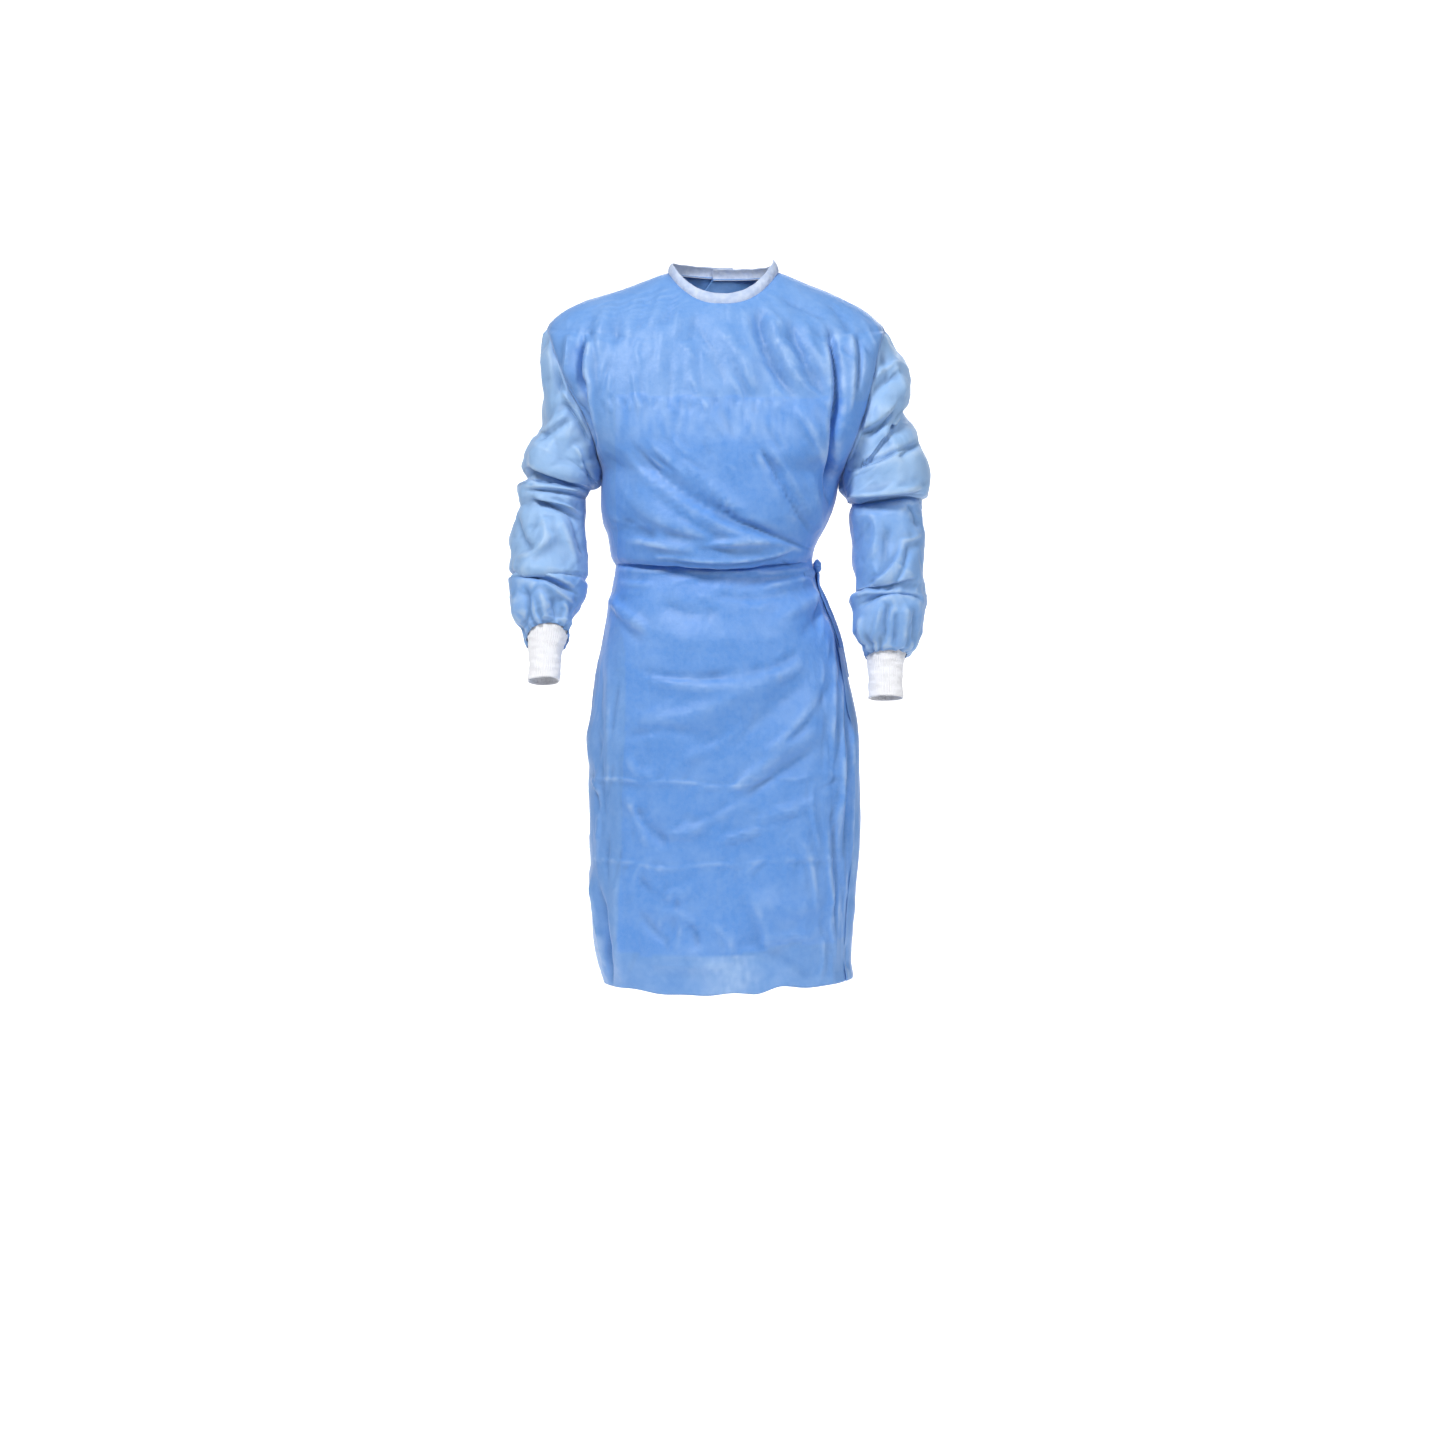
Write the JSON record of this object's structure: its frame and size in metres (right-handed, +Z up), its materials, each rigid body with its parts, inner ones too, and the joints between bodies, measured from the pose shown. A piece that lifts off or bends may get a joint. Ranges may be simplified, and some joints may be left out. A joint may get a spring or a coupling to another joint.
{
  "type": "surgical gown",
  "caption": "Wrap-around surgical gown as worn, with full pushed-up sleeves, knit cuffs, bound neck, lapped back and side-tied waist.",
  "frame": {"origin": "middle of the neck opening, level with the highest point of the shoulder seams", "axes": "+Z up, -Y the gown's front, +X the wearer's left"},
  "size_m": [0.614, 0.3292, 1.0713],
  "materials": {
    "body_cloth": "smooth nonwoven with a soft sheen",
    "sleeve_cloth": "thin matte nonwoven",
    "knit_cuff": "ribbed knit",
    "neck_tape": "thin pale nonwoven tape"
  },
  "bodies": {
    "root": {"front_panel": "body_cloth", "back_panel_left": "body_cloth", "back_panel_right": "body_cloth", "sleeve_right": "sleeve_cloth", "sleeve_left": "sleeve_cloth", "cuff_right": "knit_cuff", "cuff_left": "knit_cuff", "neck_binding": "neck_tape", "waist_tie_front": "body_cloth", "waist_tie_outer": "body_cloth", "tie_end_front": "body_cloth", "tie_end_rear": "body_cloth", "waist_knot": "body_cloth"}
  },
  "joints": []
}
